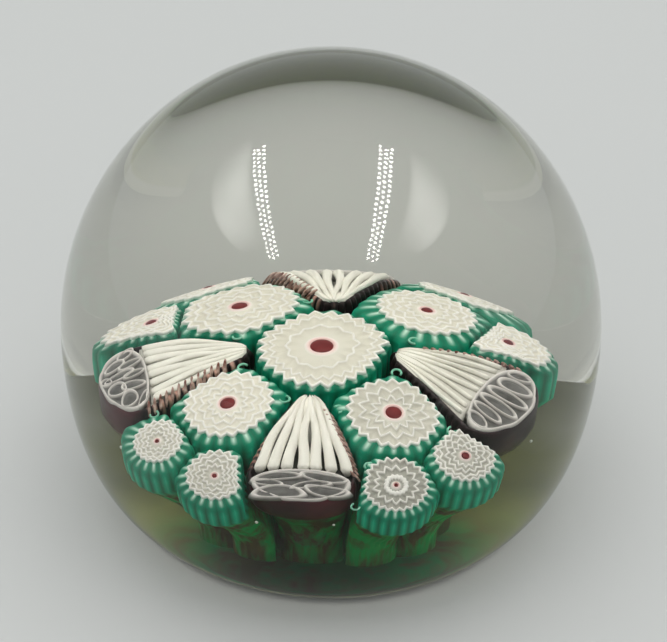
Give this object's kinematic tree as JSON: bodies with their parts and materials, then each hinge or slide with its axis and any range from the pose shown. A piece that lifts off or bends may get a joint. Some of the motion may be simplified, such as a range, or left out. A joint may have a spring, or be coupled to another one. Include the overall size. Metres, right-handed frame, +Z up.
{
  "type": "paperweight",
  "caption": "Clear glass dome paperweight over a domed cushion of green and white star canes and ribbed shell canes, on a flat ground base.",
  "frame": {"origin": "middle of the flat ground base, on the surface that the weight stands on", "axes": "+Z up along the dome's own axis; -Y is the side that the front shell cane opens towards; +X to the right of that side"},
  "size_m": [0.07, 0.07, 0.0593],
  "materials": {
    "crystal": "fire-polished clear crystal, flat base ground and polished",
    "white_cane_glass": "opaque white cane glass",
    "ruby_cane_glass": "opaque dark red cane glass",
    "green_cane_glass": "deep green translucent cane glass",
    "amethyst_cane_glass": "very dark amethyst cane glass",
    "grey_cane_glass": "folded grey translucent cane glass",
    "copper_thread_glass": "pale copper pink glass thread"
  },
  "bodies": {
    "root": {"crystal_dome": "crystal", "base_pad": "crystal", "centre_cane_eye": "ruby_cane_glass", "centre_cane_star": "white_cane_glass", "centre_cane_casing": "green_cane_glass", "inner_front_left_eye": "ruby_cane_glass", "inner_front_left_star": "white_cane_glass", "inner_front_left_casing": "green_cane_glass", "inner_front_right_eye": "ruby_cane_glass", "inner_front_right_star": "white_cane_glass", "inner_front_right_casing": "green_cane_glass", "inner_back_right_eye": "ruby_cane_glass", "inner_back_right_star": "white_cane_glass", "inner_back_right_casing": "green_cane_glass", "inner_back_left_eye": "ruby_cane_glass", "inner_back_left_star": "white_cane_glass", "inner_back_left_casing": "green_cane_glass", "outer_left_front_eye": "ruby_cane_glass", "outer_left_front_star": "white_cane_glass", "outer_left_front_casing": "green_cane_glass", "outer_front_left_eye": "ruby_cane_glass", "outer_front_left_star": "white_cane_glass", "outer_front_left_casing": "green_cane_glass", "outer_front_right_eye": "ruby_cane_glass", "outer_front_right_star": "white_cane_glass", "outer_front_right_casing": "green_cane_glass", "outer_right_front_eye": "ruby_cane_glass", "outer_right_front_star": "white_cane_glass", "outer_right_front_casing": "green_cane_glass", "outer_right_back_eye": "ruby_cane_glass", "outer_right_back_star": "white_cane_glass", "outer_right_back_casing": "green_cane_glass", "outer_back_right_eye": "ruby_cane_glass", "outer_back_right_star": "white_cane_glass", "outer_back_right_casing": "green_cane_glass", "outer_back_left_eye": "ruby_cane_glass", "outer_back_left_star": "white_cane_glass", "outer_back_left_casing": "green_cane_glass", "outer_left_back_eye": "ruby_cane_glass", "outer_left_back_star": "white_cane_glass", "outer_left_back_casing": "green_cane_glass", "shell_front_ribs": "white_cane_glass", "shell_front_folds": "grey_cane_glass", "shell_front_jacket": "amethyst_cane_glass", "shell_front_thread": "copper_thread_glass", "shell_right_ribs": "white_cane_glass", "shell_right_folds": "grey_cane_glass", "shell_right_jacket": "amethyst_cane_glass", "shell_right_thread": "copper_thread_glass", "shell_back_ribs": "white_cane_glass", "shell_back_folds": "grey_cane_glass", "shell_back_jacket": "amethyst_cane_glass", "shell_back_thread": "copper_thread_glass", "shell_left_ribs": "white_cane_glass", "shell_left_folds": "grey_cane_glass", "shell_left_jacket": "amethyst_cane_glass", "shell_left_thread": "copper_thread_glass"}
  },
  "joints": []
}
